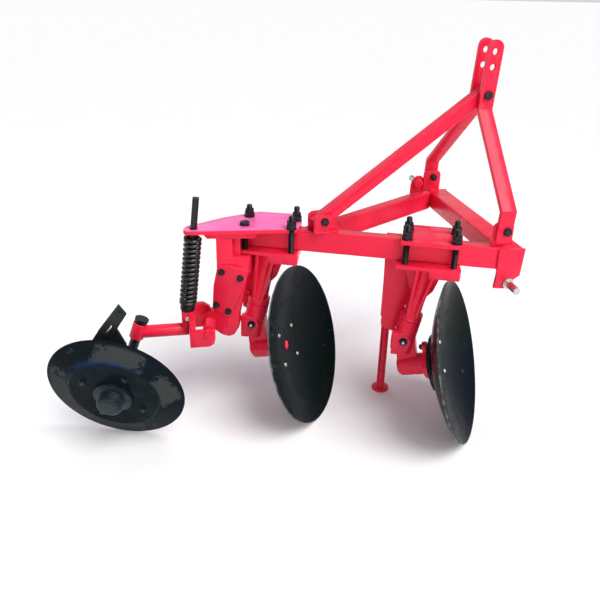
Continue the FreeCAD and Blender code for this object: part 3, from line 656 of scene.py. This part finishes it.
class PLOUGH_OT_mast_bolts(Operator):
    """Make the mast, foot and stay bolts with hexagon heads and washers"""
    bl_idname = "plough.bolts"
    bl_label = "Mast Bolts"

    def execute(self, context):
        self.bolt("foot_bolt_right", Vector((0, 1, 0)), 28)
        self.bolt("foot_bolt_left", Vector((0, -1, 0)), 28)
        self.bolt("mast_bolt", Vector((0, 1, 0)), 31)
        self.bolt("stay_bolt", -long_stay()[1], 28)
        return {"FINISHED"}

    def bolt(self, node, axis, width):
        """A head and washer at the start; a nut at the end, with 4 mm of thread past it."""
        mesh = CAD[node].data
        spans = [v.co.dot(axis) for v in mesh.vertices]
        first, last = min(spans), max(spans)
        low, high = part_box(node)
        middle = (low + high) / 2
        centre = middle + axis * ((first + last) / 2 - middle.dot(axis))
        start = centre - axis * ((last - first) / 2)
        long = (last - first) / MM
        place = placed(start, axis)
        bm = bmesh.new()
        turn = Matrix.Rotation(0.3, 4, "Z")
        head, nut = 9.5, 15
        add_hexagon(bm, place @ turn, width, head)
        add_washer(bm, raised(place, head), 16, 9, 2.5)
        add_lathe(bm, thread(head - 0.5, long, 9.8), place, 20)
        add_hexagon(bm, raised(place @ turn, long - nut - 4), width, nut)
        make_piece(bm, node + "_hex", "frame", FINISHES["black"], (node,))


class PLOUGH_OT_plate_bolts(Operator):
    """Add the bolts of the wheel's bracket, the carriers with their ears, and the spring's lug pin"""
    bl_idname = "plough.plate_bolts"
    bl_label = "Bracket Bolts"

    def execute(self, context):
        bm = bmesh.new()
        for s, z in ((1104, -115), (1028, -134), (1130, -262), (1080, -286)):
            place = placed(on_beam(s, 148.6, z), ACROSS)
            add_washer(bm, place, 14, 5, 2)
            add_hexagon(bm, raised(place, 2) @ Matrix.Rotation(s, 4, "Z"), 21, 9)
        make_piece(bm, "bracket_plate_bolts", "frame", FINISHES["black"])
        self.carrier("front", 0)
        self.carrier("rear", DISC_STEP)
        bm = bmesh.new()
        lug = placed(at(-1222, 285.5, -318), Vector((0, -1, 0)))
        add_lathe(bm, [(-58, 0), (-58, 9.5), (2, 9.5), (3.4, 8), (3.4, 0)], lug, 28)
        make_piece(bm, "spring_lug_pin", "frame", FINISHES["steel"])
        return {"FINISHED"}

    def carrier(self, name, step):
        """An ear beside the carrier with its bolt, and the bolt in the hub's flange."""
        near, far = 44, 77
        bm = bmesh.new()
        ear = ((419, -338), (388, -336), (352, -350), (338, -373), (352, -410), (392, -436), (419, -436))
        add_plate(bm, [(step + s, z) for s, z in ear], near, far, 3.5)
        make_piece(bm, name + "_carrier_ear", "frame", FINISHES["cast"])
        bm = bmesh.new()
        place = placed(on_beam(step + 372, far, -373), ACROSS)
        add_washer(bm, place, 17, 5, 2.5)
        add_hexagon(bm, raised(place, 2.5), 25, 10)
        make_piece(bm, name + "_carrier_bolt", "frame", FINISHES["black"])
        bm = bmesh.new()
        add_lathe(bm, [(0, 0), (0, 5.6), (1.4, 4.6), (1.8, 0)], raised(place, 12.3), 20)
        make_piece(bm, name + "_carrier_bolt_end", "frame", FINISHES["steel"])
        bm = bmesh.new()
        tab = placed(*spin_axis(name + "_disc_spin")) @ Matrix.Translation((76 * MM, 0, 76 * MM))
        tab = raised(tab, -28)
        add_lathe(bm, [(-3, 0), (-3, 7), (10, 7), (11, 5), (11, 0)], tab, 18)
        add_hexagon(bm, tab, 20, 9)
        make_piece(bm, name + "_flange_bolt", "frame", FINISHES["black"])


class PLOUGH_OT_castings(Operator):
    """Add the ribs and gussets of the rear casting"""
    bl_idname = "plough.castings"
    bl_label = "Casting Ribs"

    def execute(self, context):
        bm = bmesh.new()
        add_plate(bm, ((1056, -82), (962, -82), (972, -275), (1008, -342), (1056, -322)), -6, 18)
        add_plate(bm, ((1000, -84), (986, -84), (1004, -300), (1018, -296)), 14, 30, 4)
        add_plate(bm, ((1050, -150), (1004, -138), (1004, -152), (1050, -166)), 14, 27, 4)
        add_plate(bm, ((1052, -236), (1010, -252), (1010, -266), (1052, -250)), 14, 27, 4)
        add_plate(bm, ((1070, 24), (1040, 24), (1040, -62), (1070, -62)), 86, 102, 2)
        make_piece(bm, "rear_casting_ribs", "frame", FINISHES["cast"])
        return {"FINISHED"}


class PLOUGH_OT_disc_bolts(Operator):
    """Fasten both discs and the wheel to their hubs"""
    bl_idname = "plough.disc_bolts"
    bl_label = "Disc and Wheel Bolts"

    def execute(self, context):
        for name in ("front", "rear"):
            self.disc(name)
        self.wheel()
        return {"FINISHED"}

    def disc(self, name):
        """Four round heads in the dish, which lean with it, and the cap of the hub."""
        side = placed(*spin_axis(name + "_disc_spin"))
        floor = DISC_BEHIND - DISC_DISH
        circle, lean = 92, 0.13
        bm = bmesh.new()
        for quarter in range(4):
            angle = math.radians(51 + 90 * quarter)
            spot = Vector((circle * math.sin(angle), circle * math.cos(angle), floor + 6.7)) * MM
            place = side @ Matrix.Translation(spot) @ Matrix.Rotation(lean * -math.sin(angle), 4, "Y")
            add_lathe(bm, [(-3, 0), (-3, 9.5), (0.6, 9.5), (2.6, 8.2), (4.4, 4.8), (4.8, 0)], place, 24)
        make_piece(bm, name + "_disc_bolts", name + "_disc_body", FINISHES["steel"])
        bm = bmesh.new()
        add_lathe(bm, [(-7, 0), (-7, 20.4), (0.5, 20.4), (2.2, 18), (3.2, 0)], raised(side, floor - 4), 36)
        make_piece(bm, name + "_hub_cap", name + "_disc_body", FINISHES["red"])

    def wheel(self):
        """Four bolts, and the ridged barrel of the hub."""
        side = placed(*spin_axis("wheel_spin"))
        circle = 125
        bm = bmesh.new()
        for quarter in range(4):
            angle = math.radians(32 + 90 * quarter)
            spot = Vector((circle * math.sin(angle), circle * math.cos(angle), 36)) * MM
            place = side @ Matrix.Translation(spot)
            add_washer(bm, place, 13, 4, 2)
            add_hexagon(bm, raised(place, 2) @ Matrix.Rotation(angle, 4, "Z"), 19, 8)
        make_piece(bm, "wheel_bolts", "wheel_body", FINISHES["wheel_hub"])
        bm = bmesh.new()
        outline = [(25.2, 47), (25.2, 59.3), (36.3, 59.5), (36.3, 74), (37.5, 75), (47, 75), (49, 73),
                   (50, 60), (52, 53)]
        for ridge in range(5):
            base = 55 + ridge * 7.2
            outline += [(base, 48.5), (base + 2.4, 50), (base + 4.6, 48.6), (base + 5.8, 45)]
        outline += [(92, 46), (95, 44), (97, 38), (97.6, 34), (95.4, 32.5), (95, 0)]
        add_lathe(bm, outline, side, 72)
        make_piece(bm, "wheel_hub_barrel", "wheel_body", FINISHES["wheel_hub"])


class PLOUGH_OT_spring(Operator):
    """Wind the coil spring round its rod"""
    bl_idname = "plough.spring"
    bl_label = "Coil Spring"

    def execute(self, context):
        size = context.scene.plough_size
        foot, head = at(*SPRING_FOOT), on_beam(*SPRING_HEAD)
        wire = size.wire / MM
        reach = 36 - wire / 2
        start, end = 56 + wire / 2, 346 - wire / 2
        side = placed(foot, head - foot)
        spots = []
        count = size.turns * 36
        for index in range(count + 1):
            share = index / count
            angle = math.tau * size.turns * share
            spot = Vector((reach * math.cos(angle), reach * math.sin(angle),
                           start + (end - start) * self.rise(share)))
            spots.append(side @ (spot * MM))
        bm = bmesh.new()
        add_bar(bm, "spring_coil_line", spots, wire / 2, 4)
        make_piece(bm, "spring_coil", "frame", FINISHES["coil"], ("spring",))
        return {"FINISHED"}

    def rise(self, share):
        """How far up the spring its wire is; the end turns are wound closer."""
        closed, pace = 0.045, 0.35
        if share < closed:
            return share * pace
        if share > 1 - closed:
            return 1 - (1 - share) * pace
        return closed * pace + (share - closed) * (1 - 2 * pace * closed) / (1 - 2 * closed)


class PLOUGH_OT_small_parts(Operator):
    """Add the hitch pins' roll pins and welds, and the scraper's clamp and bolts"""
    bl_idname = "plough.small_parts"
    bl_label = "Pins and Clamps"

    def execute(self, context):
        bm = bmesh.new()
        for node, sign in HITCH_PINS:
            low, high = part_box(node)
            tip = high.y if sign > 0 else low.y
            spot = Vector(((low.x + high.x) / 2, tip - sign * 14 * MM, (low.z + high.z) / 2))
            add_lathe(bm, [(-17, 0), (-17, 4), (-16, 4.6), (16, 4.6), (17, 4), (17, 0)],
                      placed(spot, UP if sign < 0 else Vector((1, 0, 0))), 16)
        make_piece(bm, "hitch_roll_pins", "frame", FINISHES["steel"])

        bm = bmesh.new()
        for node, sign in HITCH_PINS:
            low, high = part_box(node)
            spot = Vector(((low.x + high.x) / 2, low.y if sign > 0 else high.y, (low.z + high.z) / 2))
            add_lathe(bm, [(-3, 0), (-3, 15), (-1.5, 20), (1, 23), (1, 0)],
                      placed(spot, Vector((0, sign, 0))), 28)
        make_piece(bm, "hitch_pin_welds", "frame", FINISHES["cast"])

        side = placed(*spin_axis("wheel_spin"))
        bm = bmesh.new()
        corner, leg, back = 6, -45, -39           # the U's bends, straight leg and closed end
        bend = [(-60, 0), (leg, 0)]
        bend += [(leg + corner * math.sin(a), corner - corner * math.cos(a)) for a in (0.5, 1.0, 1.5)]
        bend += [(back, 12), (back, 26)]
        bend += [(back - 6.5 + corner * math.cos(a), 26 + corner * math.sin(a)) for a in (0.6, 1.1, 1.5)]
        bend += [(-48, 32), (-60, 32)]
        lean = Matrix.Rotation(math.radians(-35), 3, "Z")
        spots = []
        for k, v in bend:
            flat = lean @ Vector((v - 16, 0, 0))
            spots.append(side @ (Vector((288 + flat.x, -20 + flat.y, k)) * MM))
        add_bar(bm, "scraper_clamp_line", spots, 3.6, 3)
        make_piece(bm, "scraper_u_clamp", "wheel_carrier", FINISHES["steel"])

        bm = bmesh.new()
        for u, v in ((-74, 366), (-2, 262)):
            place = side @ Matrix.Translation(Vector((v, u, -49)) * MM)
            add_hexagon(bm, place, 17, 7)
        make_piece(bm, "scraper_bolts", "wheel_carrier", FINISHES["scraper"])
        return {"FINISHED"}


class PLOUGH_OT_welds(Operator):
    """Run the weld beads where the frame's plates and tubes meet"""
    bl_idname = "plough.welds"
    bl_label = "Weld Beads"

    def execute(self, context):
        beads = [
            (on_beam(66, -31.5, -36), on_beam(66, -31.5, 36)),
            (at(-49, 2, 37.5), at(-49, 50, 37.5)),
            (on_beam(1139, -29, 42), on_beam(1139, 29, 42)),
            (at(-80, 19, 39), at(-2, 19, 39)), (at(-80, 29.5, 39), at(-2, 29.5, 39)),
            (at(-47, 757.8, 39), at(-2, 757.8, 39)),
            (on_beam(420, -41, 38), on_beam(480, -41, 38)),
            (on_beam(438, -42, -50), on_beam(474, -42, -50)),
            (on_beam(438, -42, -342), on_beam(474, -42, -342)),
            (at(-48, -1.5, -36), at(-48, -1.5, 36)),
            (at(-1217, 297, -356), at(-1217, 333, -356)),
        ]
        level, across = long_stay()
        for reach in (36.0, -36.0):
            base = on_beam(STAY_FOOT[0], 0, 43.5) + across * reach * MM
            beads.append((base - level * 40 * MM, base + level * 56 * MM))
        brace = (Vector((-62, 761, 0)) - Vector((-693, 340, 0))).normalized()
        beside = Vector((-brace.y, brace.x, 0))
        for sign in (-1, 1):
            foot = at(-693, 340, 0) + beside * 27.5 * MM * sign
            # where the brace's side meets the main beam's far face
            reach = (foot - on_beam(0, -BEAM_SIDE - 1, 0)).dot(ACROSS) / -brace.dot(ACROSS)
            foot = foot + brace * reach
            beads.append((foot + UP * -44 * MM, foot + UP * 36 * MM))
        bm = bmesh.new()
        for start, end in beads:
            add_weld(bm, start, end)
        make_piece(bm, "frame_welds", "frame", FINISHES["cast"], sharp=80)
        bm = bmesh.new()
        for step in (0, DISC_STEP):
            top = on_beam(311 + step, 14, -56)
            low = on_beam(366 + step, 29, -353)
            stem = (low - top).normalized()
            for height, radius in ((-263, 35), (-285, 43)):
                spot = top + stem * ((START.z + height * MM - top.z) / stem.z)
                place = placed(spot, stem)
                add_lathe(bm, [(3.5, radius - 4), (3.2, radius + 2), (0, radius + 3.4),
                               (-3.2, radius + 2), (-3.5, radius - 4)], place, 48)
        make_piece(bm, "stem_welds", "frame", FINISHES["cast"], sharp=80)
        return {"FINISHED"}


class PLOUGH_OT_stage(Operator):
    """Set the pale floor, the soft lights and the camera"""
    bl_idname = "plough.stage"
    bl_label = "Stage"

    def execute(self, context):
        self.floor(context.scene)
        self.sky(context.scene)
        self.lamps(context.scene)
        self.camera(context.scene)
        return {"FINISHED"}

    def floor(self, scene):
        bm = bmesh.new()
        bmesh.ops.create_grid(bm, x_segments=2, y_segments=2, size=60.0)
        mesh = bpy.data.meshes.new("studio_floor")
        bm.to_mesh(mesh)
        bm.free()
        floor_finish = Finish("studio_floor", Roughness=0.9, Specular_IOR_Level=0.1)
        tone = floor_finish.spread(floor_finish.noise(2.0), 0.3, 0.7)
        floor_finish.set("Base Color", floor_finish.blend(tone, (0.93, 0.93, 0.93), (0.91, 0.91, 0.915)))
        mesh.materials.append(floor_finish.material)
        floor = bpy.data.objects.new("studio_floor", mesh)
        scene.collection.objects.link(floor)

    def sky(self, scene):
        """A white sky, brighter at the horizon than overhead."""
        world = bpy.data.worlds.new("studio_world")
        scene.world = world
        world.use_nodes = True
        backdrop = world.node_tree.nodes["Background"]
        backdrop.inputs["Color"].default_value = (0.98, 0.98, 1.0, 1)
        tree = world.node_tree
        height = tree.nodes.new("ShaderNodeSeparateXYZ")
        glow = tree.nodes.new("ShaderNodeMapRange")
        for socket, value in zip(("From Min", "From Max", "To Min", "To Max"), (0.0, 0.6, 0.70, 0.34)):
            glow.inputs[socket].default_value = value
        tree.links.new(tree.nodes.new("ShaderNodeTexCoord").outputs["Generated"], height.inputs["Vector"])
        tree.links.new(height.outputs["Z"], glow.inputs["Value"])
        tree.links.new(glow.outputs["Result"], backdrop.inputs["Strength"])

    def lamps(self, scene):
        """A wide soft sun, and four square lights turned to the plough."""
        sun = bpy.data.lights.new("even_light", "SUN")
        sun.energy = 2.7
        sun.angle = math.radians(40)
        lamp = bpy.data.objects.new("even_light", sun)
        lamp.matrix_world = placed(Vector((0, 0, 4)), Vector((0.42, -0.55, 1.0)))
        scene.collection.objects.link(lamp)
        middle = Vector((0.1, -0.1, 0.55))
        power = scene.plough_size.key_light
        for name, spot, size, share, colour in (
                ("key_light", (1.2, -4.0, 2.2), 1.8, 1.0, (1.0, 0.98, 0.96)),
                ("fill_light", (-3.2, -3.0, 2.6), 2.4, 0.30, (0.95, 0.97, 1.0)),
                ("top_light", (0.4, 1.6, 4.2), 2.4, 0.50, (0.80, 0.72, 1.0)),
                ("back_light", (-1.0, 3.6, 2.4), 2.0, 0.25, (1.0, 1.0, 1.0))):
            light = bpy.data.lights.new(name, "AREA")
            light.shape = "SQUARE"
            light.size = size
            light.energy = power * share
            light.color = colour
            lamp = bpy.data.objects.new(name, light)
            lamp.matrix_world = placed(Vector(spot), Vector(spot) - middle)
            scene.collection.objects.link(lamp)

    def camera(self, scene):
        camera = bpy.data.cameras.new("camera")
        camera.sensor_width = 36.0
        camera.lens = 40.32
        holder = bpy.data.objects.new("camera", camera)
        right = Vector((0.981682, -0.189018, 0.023942))
        down = Vector((-0.061259, -0.432119, -0.899733))
        ahead = Vector((0.180412, 0.881785, -0.435783))
        turn = Matrix((right, -down, -ahead)).transposed().to_4x4()
        holder.matrix_world = Matrix.Translation(at(-1260.74, -2169.54, 948.92)) @ turn
        scene.collection.objects.link(holder)
        scene.camera = holder
        scene.view_settings.view_transform = "Standard"
        scene.view_settings.look = "None"


class PLOUGH_PT_workshop(Panel):
    """The plough's settings and the steps that finish it"""
    bl_label = "Disc Plough"
    bl_idname = "PLOUGH_PT_workshop"
    bl_space_type = "VIEW_3D"
    bl_region_type = "UI"
    bl_category = "Plough"

    def draw(self, context):
        layout = self.layout
        for group in (context.scene.plough_finish, context.scene.plough_size):
            box = layout.box()
            for field in group.__annotations__:
                box.prop(group, field)
        for step in STEPS:
            layout.operator(step.bl_idname)


STEPS = (PLOUGH_OT_finishes, PLOUGH_OT_soften, PLOUGH_OT_studs, PLOUGH_OT_mast_bolts,
         PLOUGH_OT_plate_bolts, PLOUGH_OT_castings, PLOUGH_OT_disc_bolts, PLOUGH_OT_spring,
         PLOUGH_OT_small_parts, PLOUGH_OT_welds, PLOUGH_OT_stage)
CLASSES = (PloughFinishSettings, PloughSizeSettings) + STEPS + (PLOUGH_PT_workshop,)


def register():
    for cls in CLASSES:
        bpy.utils.register_class(cls)
    bpy.types.Scene.plough_finish = PointerProperty(type=PloughFinishSettings)
    bpy.types.Scene.plough_size = PointerProperty(type=PloughSizeSettings)


def unregister():
    del bpy.types.Scene.plough_size
    del bpy.types.Scene.plough_finish
    for cls in reversed(CLASSES):
        bpy.utils.unregister_class(cls)


def main():
    """Registers the add-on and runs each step."""
    register()
    for step in STEPS:
        group, call = step.bl_idname.split(".")
        getattr(getattr(bpy.ops, group), call)()


if __name__ == "__main__":
    main()
